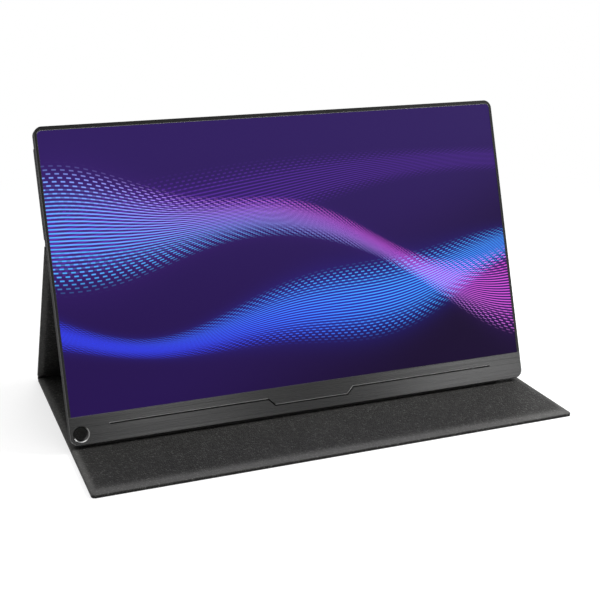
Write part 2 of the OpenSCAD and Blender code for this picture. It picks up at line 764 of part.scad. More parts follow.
module rear_screws() color(steel) in_monitor() for (x = screw_xs)
    translate([x, 0, screw_h]) rotate([-90, 0, 0]) difference() {
        union() {
            translate([0, 0, inner_back - 3.6]) cylinder(r = screw_r, h = mon_t - inner_back + 3, $fn = 24);
            translate([0, 0, mon_t - screw_head_t])
                cylinder(r = screw_head_r, h = screw_head_t - fit_gap / 4, $fn = arc_fn);
        }
        for (a = [0, 90]) rotate(a) translate([-1.1, -0.2, mon_t - 0.5]) cube([2.2, 0.4, 1]);
    }

// ---- Controls on the right side ----

// Pill-shaped button with a flange behind the wall
module power_button() color(bright_metal) in_monitor() {
    side_slot(inner_x - slide_gap - eps, side_x + power_proud, power_h, power_w, power_t);
    side_slot(inner_x - slide_gap - flange_t, inner_x - slide_gap, power_h, power_w + 2 * flange,
        power_t + 2 * flange);
}

// Small push switch on the board's edge, behind the button
module power_switch() color(plastic_black) in_monitor() {
    x1 = inner_x - slide_gap - flange_t - power_travel - slide_gap;
    side_layer(board_edge - 4, x1 - 1) translate([pcb_n + board_pcb_t, power_h - 2.4])
        square([1.1, 4.8]);
    side_layer(board_edge - 4, x1) translate([pcb_n + board_pcb_t, power_h - 1]) square([0.9, 2]);
}

// Ribbed wheel that turns on the switch's axle
module menu_wheel() color(plastic_black) in_monitor()
    translate([wheel_x, port_n - wheel_t / 2, wheel_h]) rotate([-90, 0, 0]) difference() {
        cylinder(r = wheel_r, h = wheel_t, $fn = 64);
        translate([0, 0, -1]) cylinder(r = axle_r + axle_gap, h = wheel_t + 2, $fn = arc_fn);
        for (i = [0 : 17]) rotate(i * 20) translate([wheel_r, 0, -1])
            cylinder(r = 0.25, h = wheel_t + 2, $fn = 16);
    }

// Switch body with two arms and the axle between them
module wheel_switch() color(plastic_black) in_monitor() {
    span = wheel_t + 2 * slide_gap;
    x0 = wheel_x - wheel_r - 3.2;
    side_layer(x0, wheel_x - wheel_r - 2 * slide_gap)
        translate([pcb_n + board_pcb_t, wheel_h - 4]) square([span / 2 + arm_t - board_pcb_t / 2, 8]);
    for (s = [-1, 1]) side_layer(s > 0 ? x0 : board_edge + fit_gap, wheel_x + 1.4)
        translate([port_n + s * (span / 2 + arm_t / 2) - arm_t / 2, wheel_h - 1.4]) square([arm_t, 2.8]);
    translate([wheel_x, port_n - span / 2 - eps, wheel_h]) rotate([-90, 0, 0])
        cylinder(r = axle_r, h = span + 2 * eps, $fn = arc_fn);
}

base_skin();
base_board();
base_lining();
seat_strips();
base_magnets();
leg_skin();
leg_board();
spine_board();
leg_lining();
upper_skin();
upper_board();
upper_lining();
upper_magnets();
front_bezel();
pen_hole_ring();
lcd_cell();
optical_films();
light_guide();
led_strip();
reflector_sheet();
display_tray();
panel_flex();
panel_board();
display_cable();
main_board();
scaler_shield();
usb_c_sockets();
hdmi_socket();
earphone_socket();
speaker_left();
speaker_right();
speaker_leads();
steel_plate();
rear_shell();
rear_screws();
wheel_switch();
power_switch();
menu_wheel();
power_button();
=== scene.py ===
from math import atan2, cos, hypot, pi, radians, sin

import bmesh
import bpy
from mathutils import Matrix, Vector, noise


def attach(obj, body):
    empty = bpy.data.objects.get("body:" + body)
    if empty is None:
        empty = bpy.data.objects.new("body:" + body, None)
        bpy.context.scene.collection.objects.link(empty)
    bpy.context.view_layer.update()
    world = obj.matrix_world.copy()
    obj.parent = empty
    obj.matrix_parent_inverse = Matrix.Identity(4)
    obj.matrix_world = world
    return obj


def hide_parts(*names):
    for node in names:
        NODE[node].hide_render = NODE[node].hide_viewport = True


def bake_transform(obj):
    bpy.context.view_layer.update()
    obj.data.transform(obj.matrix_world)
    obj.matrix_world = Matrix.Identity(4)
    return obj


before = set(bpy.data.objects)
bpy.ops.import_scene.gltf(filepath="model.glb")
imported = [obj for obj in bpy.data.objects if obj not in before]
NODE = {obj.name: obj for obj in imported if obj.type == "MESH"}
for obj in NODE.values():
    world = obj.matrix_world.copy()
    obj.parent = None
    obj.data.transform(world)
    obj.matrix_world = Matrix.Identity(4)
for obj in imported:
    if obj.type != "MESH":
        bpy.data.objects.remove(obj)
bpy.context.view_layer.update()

# ---- View and studio ----
# A pale table top, a white surround and soft lamps: a large one overhead, one behind, and
# small ones at the right, the left and low at the front that draw along the metal edges.

CAMERA_PLACE = (-0.28811, -0.78109, 0.34181)
CAMERA_TURN = 21.938
CAMERA_DIP = 17.678
FOCAL_PIXELS = 1166.14
SHIFT_PIXELS = (-26.14, 2.31)
PICTURE_PIXELS = 600


def in_scene(name, data):
    """A new object in the scene, from a camera, a lamp or a mesh."""
    made = bpy.data.objects.new(name, data)
    bpy.context.scene.collection.objects.link(made)
    return made


camera_data = bpy.data.cameras.new("studio camera")
camera_data.sensor_width = 36
camera_data.lens = FOCAL_PIXELS * camera_data.sensor_width / PICTURE_PIXELS
camera_data.shift_x, camera_data.shift_y = (pixels / PICTURE_PIXELS for pixels in SHIFT_PIXELS)
camera_data.clip_end = 20
camera = in_scene("studio camera", camera_data)
camera.location = CAMERA_PLACE
camera.rotation_euler = (radians(90 - CAMERA_DIP), 0, radians(-CAMERA_TURN))
bpy.context.scene.camera = camera
bpy.context.scene.view_settings.view_transform = "Standard"


def feed(tree, socket, value):
    """Sets an input from another node's output or from numbers."""
    if isinstance(value, bpy.types.NodeSocket):
        tree.links.new(value, socket)
    else:
        socket.default_value = value


def node(tree, kind, **values):
    """Adds a node; values are its settings, or its inputs by name."""
    made = tree.nodes.new(kind)
    for name, value in values.items():
        if hasattr(made, name) and name not in made.inputs:
            setattr(made, name, value)
        else:
            feed(tree, made.inputs[name.replace("_", " ")], value)
    return made


def math(tree, operation, *terms, clamp=False, kind="ShaderNodeMath"):
    """The result of a math node on outputs or numbers."""
    made = node(tree, kind, operation=operation)
    for socket, term in zip(made.inputs, terms):
        feed(tree, socket, term)
    if clamp:
        made.use_clamp = True
    return made.outputs[0]


def ramp(tree, value, low, high, to_low=0.0, to_high=1.0):
    """Smooth step of a value between low and high."""
    return node(tree, "ShaderNodeMapRange", interpolation_type="SMOOTHSTEP", Value=value, From_Min=low,
                From_Max=high, To_Min=to_low, To_Max=to_high).outputs["Result"]


def own_place(tree):
    """The place of each point in the object's own coordinates."""
    return node(tree, "ShaderNodeTexCoord").outputs["Object"]


def seen_rays(tree):
    """1 for rays that show the surround: camera, glossy and transmission rays."""
    ray = node(tree, "ShaderNodeLightPath").outputs
    seen = math(tree, "MAXIMUM", ray["Is Camera Ray"], ray["Is Glossy Ray"])
    return math(tree, "MAXIMUM", seen, ray["Is Transmission Ray"])


def put_out(tree, kind, lit, shown, share):
    """Ends a tree of lit and shown shaders, of which share goes to shown."""
    choose = node(tree, "ShaderNodeMixShader")
    for socket, value in zip(choose.inputs, (share, lit.outputs[0], shown.outputs[0])):
        tree.links.new(value, socket)
    node(tree, kind, Surface=choose.outputs[0])


WHITE = (1, 1, 1, 1)
ROOM_LIGHT = 0.3

world = bpy.data.worlds.new("white surround")
world.use_nodes = True
bpy.context.scene.world = world
tree = world.node_tree
tree.nodes.clear()
room = node(tree, "ShaderNodeBackground", Color=WHITE, Strength=ROOM_LIGHT)
white = node(tree, "ShaderNodeBackground", Color=WHITE, Strength=1.0)
put_out(tree, "ShaderNodeOutputWorld", room, white, seen_rays(tree))

# The table shows the shadow round the object and fades to white further off
TABLE_TONE = (0.93, 0.93, 0.93, 1)
FADE_FROM, FADE_TO = 0.3, 0.9
LEAST_WHITE = 0.6
TABLE_CORNERS = [(-6, -6, 0), (6, -6, 0), (6, 6, 0), (-6, 6, 0)]

table_material = bpy.data.materials.new("pale table top")
table_material.use_nodes = True
tree = table_material.node_tree
tree.nodes.clear()
matt = node(tree, "ShaderNodeBsdfDiffuse", Color=TABLE_TONE)
glow = node(tree, "ShaderNodeEmission", Color=WHITE, Strength=1.0)
reach = node(tree, "ShaderNodeVectorMath", operation="LENGTH", Vector=own_place(tree))
whiten = ramp(tree, reach.outputs["Value"], FADE_FROM, FADE_TO, LEAST_WHITE, 1.0)
put_out(tree, "ShaderNodeOutputMaterial", matt, glow, math(tree, "MULTIPLY", seen_rays(tree), whiten))

table_mesh = bpy.data.meshes.new("table top")
table_mesh.from_pydata(TABLE_CORNERS, [], [(0, 1, 2, 3)])
table_mesh.materials.append(table_material)
table = in_scene("table_top", table_mesh)


def lamp(name, place, aim, size, watts):
    """Soft rectangular lamp at place that points at aim."""
    data = bpy.data.lights.new(name, "AREA")
    data.shape = "RECTANGLE"
    data.size, data.size_y = size
    data.energy = watts
    made = in_scene(name, data)
    made.location = place
    made.rotation_euler = (Vector(aim) - Vector(place)).to_track_quat("-Z", "Y").to_euler()


lamp("overhead lamp", (-0.2, -0.3, 1.7), aim=(0, 0, 0.05), size=(1.8, 1.4), watts=25)
lamp("right lamp", (0.75, -0.22, 0.62), aim=(0.13, -0.06, 0.0), size=(0.3, 0.3), watts=12)
lamp("low front right lamp", (0.785, -1.245, 0.303), aim=(0.135, -0.04, 0.02), size=(0.24, 0.2), watts=3)
lamp("low front lamp", (0.192, -1.369, 0.332), aim=(-0.11, -0.04, 0.02), size=(0.2, 0.2), watts=1.6)
lamp("left lamp", (-1.4, -0.2, 0.3), aim=(-0.1, 0, 0.1), size=(0.4, 0.4), watts=0.2)
lamp("rear lamp", (0.4, 1.7, 1.1), aim=(0, 0, 0.1), size=(1.2, 0.8), watts=14)

# ---- Grained leather of the cover ----
# The cover is black coated fabric with an embossed pebble grain. The grain is flattened where
# the sheets are welded, and the coat is a little glossier on the tops of the pebbles.

PEBBLE, GRAIN_DEPTH = 0.0015, 0.00036
DOME_REACH, FINE_SHARE = 0.32, 0.35
TONE_CONTRAST, PATCH_SHARE = 1.7, 0.06
WELDED_GRAIN, WARP = 0.35, 0.35
WELD_AND_HIGHLIGHT_GREY, WELD_AND_HIGHLIGHT_GREY_TOPS = 0.6, 0.5
HOLLOW_ROUGH, TOP_SMOOTHER, WELD_SMOOTHER = 0.56, 0.2, 0.06


def shader_group(name, sizes, outputs):
    """A node group that reads a Vector and named sizes; returns it, what it is given and what it
    puts out."""
    made = bpy.data.node_groups.new(name, "ShaderNodeTree")
    made.interface.new_socket(name="Vector", in_out="INPUT", socket_type="NodeSocketVector")
    for label, size in sizes.items():
        socket = made.interface.new_socket(name=label, in_out="INPUT", socket_type="NodeSocketFloat")
        socket.default_value = size
    for label in outputs:
        made.interface.new_socket(name=label, in_out="OUTPUT", socket_type="NodeSocketFloat")
    return made, made.nodes.new("NodeGroupInput").outputs, made.nodes.new("NodeGroupOutput").inputs


def full_range(tree, value):
    """A noise, which keeps near its middle, stretched to run from 0 to 1."""
    return ramp(tree, value, 0.3, 0.7)


def blend_colour(tree, mask, dark, light):
    """Mixes two colours, given as outputs or numbers, by a mask."""
    made = node(tree, "ShaderNodeMix", data_type="RGBA", Factor=mask)
    for label, colour in (("A", dark), ("B", light)):
        socket = [s for s in made.inputs if s.name == label and s.type == "RGBA"][0]
        feed(tree, socket, colour if isinstance(colour, bpy.types.NodeSocket) else (*colour, 1))
    return [s for s in made.outputs if s.type == "RGBA"][0]


grain_group, given, out = shader_group("pebble grain", {"Pebble": PEBBLE, "Warp": WARP}, ("Height", "Tone"))
tree = grain_group
scaled = math(tree, "DIVIDE", given["Vector"], given["Pebble"], kind="ShaderNodeVectorMath")
warp = node(tree, "ShaderNodeTexNoise", Vector=scaled, Scale=0.7, Detail=1.0)
push = math(tree, "MULTIPLY_ADD", warp.outputs["Color"], given["Warp"], scaled, kind="ShaderNodeVectorMath")
pebbles = node(tree, "ShaderNodeTexVoronoi", feature="DISTANCE_TO_EDGE", Vector=push, Scale=1.0,
               Randomness=0.9)
domes = ramp(tree, pebbles.outputs["Distance"], 0.0, DOME_REACH)
fine = node(tree, "ShaderNodeTexNoise", Vector=scaled, Scale=3.5, Detail=2.0)
tree.links.new(math(tree, "MULTIPLY_ADD", fine.outputs["Fac"], FINE_SHARE, domes), out["Height"])
# Single pebbles are lighter or darker, and so, a little, are broad patches
patch = node(tree, "ShaderNodeTexNoise", Vector=scaled, Scale=0.09, Detail=3.0)
cells = node(tree, "ShaderNodeTexVoronoi", Vector=push, Scale=1.0, Randomness=0.9)
single = node(tree, "ShaderNodeSeparateXYZ", Vector=cells.outputs["Color"])
bright = math(tree, "POWER", single.outputs["X"], TONE_CONTRAST)
tone = math(tree, "MULTIPLY_ADD", full_range(tree, patch.outputs["Fac"]), PATCH_SHARE,
            math(tree, "MULTIPLY", math(tree, "MULTIPLY", domes, bright), 1 - PATCH_SHARE))
tree.links.new(tone, out["Tone"])


def new_finish(name, **plain):
    """A new material with these plain shader settings; returns it with its tree and inputs."""
    made = bpy.data.materials.new(name)
    made.use_nodes = True
    shader = made.node_tree.nodes["Principled BSDF"]
    for label, value in plain.items():
        shader.inputs[label.replace("_", " ")].default_value = value
    return made, made.node_tree, shader.inputs


def emboss(tree, surface, height, depth):
    """Raises a surface by depth times a height."""
    bump = node(tree, "ShaderNodeBump", Strength=1.0, Distance=depth, Height=height)
    tree.links.new(bump.outputs["Normal"], surface["Normal"])


def grained_leather(name, dark, light, pressed_and_highlight):
    """Leather with pebble grain; its weld attribute is 1 where the grain is pressed flat and
    the coat has turned greyer, and it is raised on the borders' rounded shoulders as a painted highlight."""
    made, tree, surface = new_finish(name, Specular_IOR_Level=0.07)
    grain = node(tree, "ShaderNodeGroup", node_tree=grain_group, Vector=own_place(tree),
                 Pebble=PEBBLE).outputs
    weld = node(tree, "ShaderNodeAttribute", attribute_name="weld").outputs["Fac"]
    relief = math(tree, "SUBTRACT", 1.0, math(tree, "MULTIPLY", weld, 1 - WELDED_GRAIN))
    emboss(tree, surface, math(tree, "MULTIPLY", grain["Height"], relief), GRAIN_DEPTH)
    # The greying of welds is partly a painted highlight, strongest on the borders' shoulders
    grey = math(tree, "MULTIPLY_ADD", grain["Tone"], WELD_AND_HIGHLIGHT_GREY_TOPS, WELD_AND_HIGHLIGHT_GREY)
    greyed_and_highlit = math(tree, "MULTIPLY", weld, grey)
    colour = blend_colour(tree, grain["Tone"], dark, light)
    tree.links.new(blend_colour(tree, greyed_and_highlit, colour, pressed_and_highlight), surface["Base Color"])
    rough = math(tree, "MULTIPLY_ADD", grain["Tone"], -TOP_SMOOTHER, HOLLOW_ROUGH)
    tree.links.new(math(tree, "MULTIPLY_ADD", weld, -WELD_SMOOTHER, rough), surface["Roughness"])
    return made


cover_leather = grained_leather("black grained leather", (0.015, 0.0148, 0.0144), (0.055, 0.0541, 0.0526),
                                (0.08, 0.079, 0.077))
lining_leather = grained_leather("black lining leather", (0.015, 0.0148, 0.0143), (0.055, 0.0539, 0.052),
                                 (0.08, 0.079, 0.0765))

# ---- Front cover ----
# A stiff panel that lies on the table and carries the monitor's lower edge. An outer and an
# inner sheet are laid over a board, and their borders are welded flat together and trimmed.

MM = 0.001
HALF_WIDTH = 0.355 / 2
HALF_LENGTH = 0.222
EDGE_TRIM = 0.00065
FRONT_LENGTH = HALF_LENGTH - EDGE_TRIM
FOLD_PLACE = (0.11035, 0.0014)
CREASE_HALF = 0.0032
INNER_NEAR = CREASE_HALF + 0.0009
CORNER, FOLD_CORNER = 0.003, 0.0004
CORNER_STEPS = 6
PARTS_ACROSS, PARTS_ALONG = 39, 24


def rounded_loop(half, y0, y1, near_r, far_r, z):
    """Points round a panel's outline, anticlockwise seen from its inner side."""
    ring = []
    corners = [(half - near_r, y0 + near_r, near_r, -90), (half - far_r, y1 - far_r, far_r, 0),
               (far_r - half, y1 - far_r, far_r, 90), (near_r - half, y0 + near_r, near_r, 180)]
    for i, (cx, cy, r, begin) in enumerate(corners):
        for k in range(CORNER_STEPS + 1):
            a = radians(begin + 90 * k / CORNER_STEPS)
            ring.append((cx + r * cos(a), cy + r * sin(a), z))
        nx, ny, nr, nbegin = corners[(i + 1) % 4]
        target = (nx + nr * cos(radians(nbegin)), ny + nr * sin(radians(nbegin)))
        sx, sy = ring[-1][:2]
        parts = PARTS_ACROSS if i % 2 else PARTS_ALONG
        for k in range(1, parts):
            ring.append((sx + (target[0] - sx) * k / parts, sy + (target[1] - sy) * k / parts, z))
    return ring


def leather_piece(name, verts, count, weld, material):
    """Closed piece of leather from rings of count points, with both ends filled flat."""
    last = len(verts) - count
    faces = [(i + k, i + (k + 1) % count, i + count + (k + 1) % count, i + count + k)
             for i in range(0, last, count) for k in range(count)]
    faces += [tuple(reversed(range(count))), tuple(range(last, last + count))]
    mesh = bpy.data.meshes.new(name)
    mesh.from_pydata(verts, [], faces)
    mesh.attributes.new("weld", "FLOAT", "POINT").data.foreach_set("value", weld)
    mesh.materials.append(material)
    outward = bmesh.new()
    outward.from_mesh(mesh)
    bmesh.ops.recalc_face_normals(outward, faces=outward.faces)
    outward.to_mesh(mesh)
    outward.free()
    mesh.shade_smooth()
    mesh.set_sharp_from_angle(angle=radians(50))
    return in_scene(name, mesh)


# Along the right border the greying is weaker, which is painted shade on that side
RIGHT_BAND, FRONT_BAND, BAND_FADE = 0.01, 0.011, 0.003
RIGHT_PAINTED_SHADE = 0.7
# The lower part of the front edge is kept black
LOW_FRONT_BAND, LOW_FRONT_TOP, LOW_FRONT_BLACK = 0.002, 0.0009, 0.85
LEAST_CORNER = 0.0001
SWELL_RATE, SWELL_RISE, SWELL_START = 45, 90, 3.1


def sheet_of_rows(name, rows, y0, y1, far_r, place, material, body, wave=0.0):
    """Closed sheet from rows (side inset, near inset, far inset, height, weld and painted highlight), in mm.
    place turns panel coordinates into the shared frame, and wave is the height of a soft swell."""
    verts, weld = [], []
    for *insets, pressed_and_highlight in rows:
        side, near, far, z = (value * MM for value in insets)
        ring = rounded_loop(HALF_WIDTH - side, y0 + near, y1 - far, max(FOLD_CORNER - near, LEAST_CORNER),
                            max(far_r - far, FOLD_CORNER), z)
        for x, y, h in ring:
            spot = Vector((x * SWELL_RATE, y * SWELL_RATE, SWELL_START + z * SWELL_RISE))
            swell = wave * noise.noise(spot)
            verts.append(place(x, y, h + swell))
            right = min(1, max(0, (verts[-1][0] - HALF_WIDTH + RIGHT_BAND) / BAND_FADE))
            right *= min(1, max(0, (y1 - FRONT_BAND - y) / BAND_FADE))
            kept_black = LOW_FRONT_BLACK if y > y1 - LOW_FRONT_BAND and h < LOW_FRONT_TOP else 0
            weld.append(pressed_and_highlight * (1 - RIGHT_PAINTED_SHADE * right) * (1 - kept_black))
    made = leather_piece(name, verts, len(ring), weld, material)
    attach(made, body)
    return made


# Outer sheet from the flat underside, with the pressed line along the board's edge, round the
# trimmed edge to the weld and the board's pocket
OUTER_ROWS = [
    (9.0, 4.0, 9.0, -1.4, 0), (6.6, 3.4, 6.6, -1.4, 0), (6.3, 3.2, 6.3, -1.36, 0.5),
    (6.0, 3.0, 6.0, -1.27, 0.8), (5.7, 2.8, 5.7, -1.27, 0.8), (5.4, 2.6, 5.4, -1.36, 0.5),
    (5.1, 2.4, 5.1, -1.4, 0.1), (4.5, 2.2, 4.5, -1.4, 0),
    (1.6, 1.4, 1.6, -1.4, 0), (0.85, 0.85, 0.85, -1.385, 0),
    (0.42, 0.42, 0.42, -1.33, 0.1), (0.16, 0.16, 0.16, -1.2, 0.2), (0.03, 0.03, 0.03, -1.0, 0.25),
    (0.0, 0.0, 0.0, -0.82, 0.3), (0.06, 0.02, 0.06, -0.66, 0.25), (0.2, 0.06, 0.2, -0.52, 0.1),
    (0.42, 0.12, 0.42, -0.41, 0), (0.8, 0.2, 0.8, -0.33, 0), (5.8, 0.55, 5.8, -0.31, 0),
    (6.0, 0.65, 6.0, -0.36, 0), (6.0, 0.7, 6.0, -0.69, 0), (6.3, 0.9, 6.3, -0.7, 0),
    (7.0, 1.4, 7.0, -0.7, 0),
]
# Inner sheet from the board up over the ridge and down to the weld; its last column greys the weld, and most
# on the border's rounded shoulder, where the greying is a painted highlight
INNER_ROWS = [
    (7.0, 1.2, 7.0, 0.7, 0), (6.2, 0.4, 6.2, 0.7, 0), (6.0, 0.2, 6.0, 0.66, 0),
    (6.0, 0.1, 6.0, -0.2, 0), (5.8, 0.06, 5.8, -0.29, 0), (0.8, 0.04, 0.8, -0.28, 0),
    (0.42, 0.02, 0.42, -0.21, 0), (0.2, 0.0, 0.2, -0.1, 0.1), (0.06, 0.0, 0.06, 0.04, 0.3),
    (0.0, 0.0, 0.0, 0.2, 0.4), (0.0, 0.0, 0.0, 0.5, 0.45), (0.05, 0.0, 0.03, 0.68, 0.5),
    (0.18, 0.0, 0.1, 0.86, 0.6), (0.4, 0.0, 0.24, 1.0, 0.75), (0.75, 0.01, 0.5, 1.1, 0.85),
    (1.2, 0.02, 1.1, 1.18, 0.92), (1.8, 0.05, 2.6, 1.26, 1), (2.5, 0.1, 4.4, 1.32, 1),
    (3.2, 0.2, 6.0, 1.365, 0.9), (3.9, 0.35, 7.6, 1.39, 0.6), (4.7, 0.6, 9.6, 1.4, 0.28),
    (5.8, 1.0, 12.0, 1.4, 0.08), (8.0, 2.0, 15.0, 1.4, 0),
]


def in_base(x, y, z):
    """Point of the front panel, y from the rear fold and z towards the monitor."""
    return (-x, FOLD_PLACE[0] - y, FOLD_PLACE[1] + z)


front_outer = sheet_of_rows("front_cover_outer_sheet", OUTER_ROWS, CREASE_HALF, FRONT_LENGTH, CORNER,
                            in_base, cover_leather, "base")
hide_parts("base_skin")
front_inner = sheet_of_rows("front_cover_inner_sheet", INNER_ROWS, INNER_NEAR, FRONT_LENGTH, CORNER,
                            in_base, lining_leather, "base", wave=0.00006)
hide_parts("base_lining")

# ---- Rear leg and upper panel ----
# The leg props the monitor from behind and the upper panel clings to its back by magnets.
# Both are made as the front cover is; the leg is folded at both ends.

TILT = radians(18.3)
SEAT = (-0.0408, 0.005823806)
UPPER_FOLD_BEHIND, UPPER_FOLD_HEIGHT = 0.01, 0.14
SPINE = 0.012


def in_monitor(x, depth, height):
    """Point of the monitor: across, depth behind its front face and height up that face."""
    return (x, SEAT[0] + sin(TILT) * height + cos(TILT) * depth,
            SEAT[1] + cos(TILT) * height - sin(TILT) * depth)


UPPER_FOLD = in_monitor(0, UPPER_FOLD_BEHIND, UPPER_FOLD_HEIGHT)[1:]
leg_run = FOLD_PLACE[0] - UPPER_FOLD[0]
leg_rise = UPPER_FOLD[1] - FOLD_PLACE[1]
LEG_LENGTH = hypot(leg_run, leg_rise)
LEG_ANGLE = atan2(leg_rise, leg_run)
UPPER_LENGTH = HALF_LENGTH + SPINE - LEG_LENGTH


def in_leg(x, y, z):
    """Point of the leg, y up from the rear fold and z towards the inner side."""
    return (x, FOLD_PLACE[0] - y * cos(LEG_ANGLE) - z * sin(LEG_ANGLE),
            FOLD_PLACE[1] + y * sin(LEG_ANGLE) - z * cos(LEG_ANGLE))


def in_upper(x, y, z):
    """Point of the upper panel, y up from the upper fold and z towards the monitor."""
    return (x, UPPER_FOLD[0] + y * sin(TILT) - z * cos(TILT),
            UPPER_FOLD[1] + y * cos(TILT) + z * sin(TILT))


def fold_at_far_end(rows):
    """The same rows with the far end shaped as the near end, for a panel between two folds."""
    return [(side, near, near, z, pressed_and_highlight) for side, near, far, z, pressed_and_highlight in rows]


leg_far = LEG_LENGTH - CREASE_HALF
leg_outer = sheet_of_rows("leg_outer_sheet", fold_at_far_end(OUTER_ROWS), CREASE_HALF, leg_far, FOLD_CORNER,
                          in_leg, cover_leather, "leg")
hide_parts("leg_skin")
leg_inner = sheet_of_rows("leg_inner_sheet", fold_at_far_end(INNER_ROWS), INNER_NEAR,
                          LEG_LENGTH - INNER_NEAR, FOLD_CORNER, in_leg, lining_leather, "leg", wave=0.00004)
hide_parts("leg_lining")
upper_outer = sheet_of_rows("upper_panel_outer_sheet", OUTER_ROWS, CREASE_HALF, UPPER_LENGTH, CORNER,
                            in_upper, cover_leather, "upper_panel")
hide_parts("upper_skin")
upper_inner = sheet_of_rows("upper_panel_inner_sheet", INNER_ROWS, INNER_NEAR, UPPER_LENGTH, CORNER,
                            in_upper, lining_leather, "upper_panel")
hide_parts("upper_lining")

# ---- Fold leather ----
# Between two boards the sheets are pressed to one thin strip, which folds. Its outer side
# runs round the fold, and it is finely creased by use.

FOLD_REACH, WEB_HALF, BEAD = 4.3, 0.4, 0.65
BEND_STEPS = 8
FOLD_SLICES = 96
END_GAP = 0.0003
CREASING = 0.00005
CREASE_RATE, CREASE_STEP, CREASE_START = 260, 0.7, 5.0


def fold_strip(name, first, second):
    """Leather strip over a fold. first and second give a point of each panel from (x, y, z)."""
    # Both sides of the strip over one panel: distance from the fold and height, in mm
    outer = [(FOLD_REACH, -0.26), (3.6, -0.33), (3.2, -WEB_HALF), (2.4, -WEB_HALF), (1.5, -0.43),
             (0.7, -0.54), (0.15, -BEAD)]
    inner = [(0.95, WEB_HALF), (1.3, WEB_HALF), (2.2, WEB_HALF), (3.4, WEB_HALF), (FOLD_REACH, 0.36)]

    def side(panel, points):
        return [Vector(panel(0, y * MM, z * MM)[1:]) for y, z in points]

    centre = Vector(first(0, 0, 0)[1:])
    a, b = (side(panel, [(0, -BEAD)])[0] - centre for panel in (first, second))
    turn = a.angle_signed(b)
    path = side(first, outer)
    path += [centre + Matrix.Rotation(-turn * k / BEND_STEPS, 2) @ a for k in range(1, BEND_STEPS)]
    path += side(second, outer[::-1]) + side(second, inner[:0:-1]) + side(first, inner)
    verts = []
    for i in range(FOLD_SLICES + 1):
        x = (2 * i / FOLD_SLICES - 1) * (HALF_WIDTH - END_GAP)
        for k, p in enumerate(path):
            crease = CREASING * noise.noise(Vector((x * CREASE_RATE, k * CREASE_STEP, CREASE_START)))
            off = (p - centre).normalized() * crease
            verts.append((x, p[0] + off[0], p[1] + off[1]))
    made = leather_piece(name, verts, len(path), [0.5] * len(verts), cover_leather)
    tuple(first(0, CREASE_HALF, 0))
    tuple(second(0, CREASE_HALF, 0))
    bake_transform(made)


def from_leg_top(x, y, z):
    """Point of the leg, y down from the upper fold."""
    return in_leg(x, LEG_LENGTH - y, z)


fold_strip("rear_fold_leather", in_base, in_leg)
fold_strip("upper_fold_leather", from_leg_top, in_upper)

# ---- Boards and magnets of the cover ----
# Grey fibreboards are glued between the sheets and stiffen the panels. Flat nickel-plated
# magnets lie in holes of the boards.


def varied_material(name, dark, light, *, grain, rough, metal=0.0, relief=0.0, spread=0.1, specular=0.5):
    """Plain material whose colour, gloss and relief vary with a noise of the given grain."""
    made, tree, surface = new_finish(name, Metallic=metal, Specular_IOR_Level=specular)
    scaled = node(tree, "ShaderNodeMapping", Vector=own_place(tree), Scale=(1 / grain,) * 3).outputs[0]
    fine = node(tree, "ShaderNodeTexNoise", Vector=scaled, Scale=1.0, Detail=3.0).outputs["Fac"]
    mask = full_range(tree, fine)
    tree.links.new(blend_colour(tree, mask, dark, light), surface["Base Color"])
    tree.links.new(math(tree, "MULTIPLY_ADD", mask, spread, rough - spread / 2), surface["Roughness"])
    if relief:
        emboss(tree, surface, fine, relief)
    return made


def dress(material, *names):
    """Gives the solids of these names their material."""
    for name in names:
        for place in NODE[name].material_slots:
            place.material = material


dress(varied_material("grey fibreboard", (0.32, 0.28, 0.21), (0.5, 0.45, 0.35), grain=0.002, rough=0.9,
                      relief=0.00008), "base_board", "leg_board", "spine_board", "upper_board")
dress(varied_material("nickel-plated magnet", (0.5, 0.5, 0.5), (0.66, 0.66, 0.65), grain=0.0008, rough=0.28,
                      metal=1.0), "base_magnets", "upper_magnets")

# ---- Seat strips ----
# Two moulded silicone strips are glued to the front cover and stop the monitor's lower edge
# from sliding. Each is a flat base with small half-round ribs across it.

silicone = varied_material("matt silicone", (0.012, 0.012, 0.012), (0.022, 0.022, 0.022), grain=0.0006,
                           rough=0.7, relief=0.00003, specular=0.35)


def settle(made):
    """Runs an object's modifiers and keeps what they make as its plain mesh."""
    whole = bpy.data.meshes.new_from_object(made.evaluated_get(bpy.context.evaluated_depsgraph_get()))
    made.modifiers.clear()
    made.data = whole
    return whole


def broken_edges(made, round_off, steps, sharp_from):
    """Breaks edges sharper than sharp_from degrees, as moulding, milling or plating leaves them."""
    if round_off:
        edge = made.modifiers.new("broken edges", "BEVEL")
        edge.width = round_off
        edge.segments = steps
        edge.limit_method = "ANGLE"
        edge.angle_limit = radians(sharp_from)
        edge.use_clamp_overlap = True
    facing = made.modifiers.new("even shading", "WEIGHTED_NORMAL")
    facing.keep_sharp = True
    whole = settle(made)
    whole.name = made.name
    if not round_off:
        whole.set_sharp_from_angle(angle=radians(sharp_from))


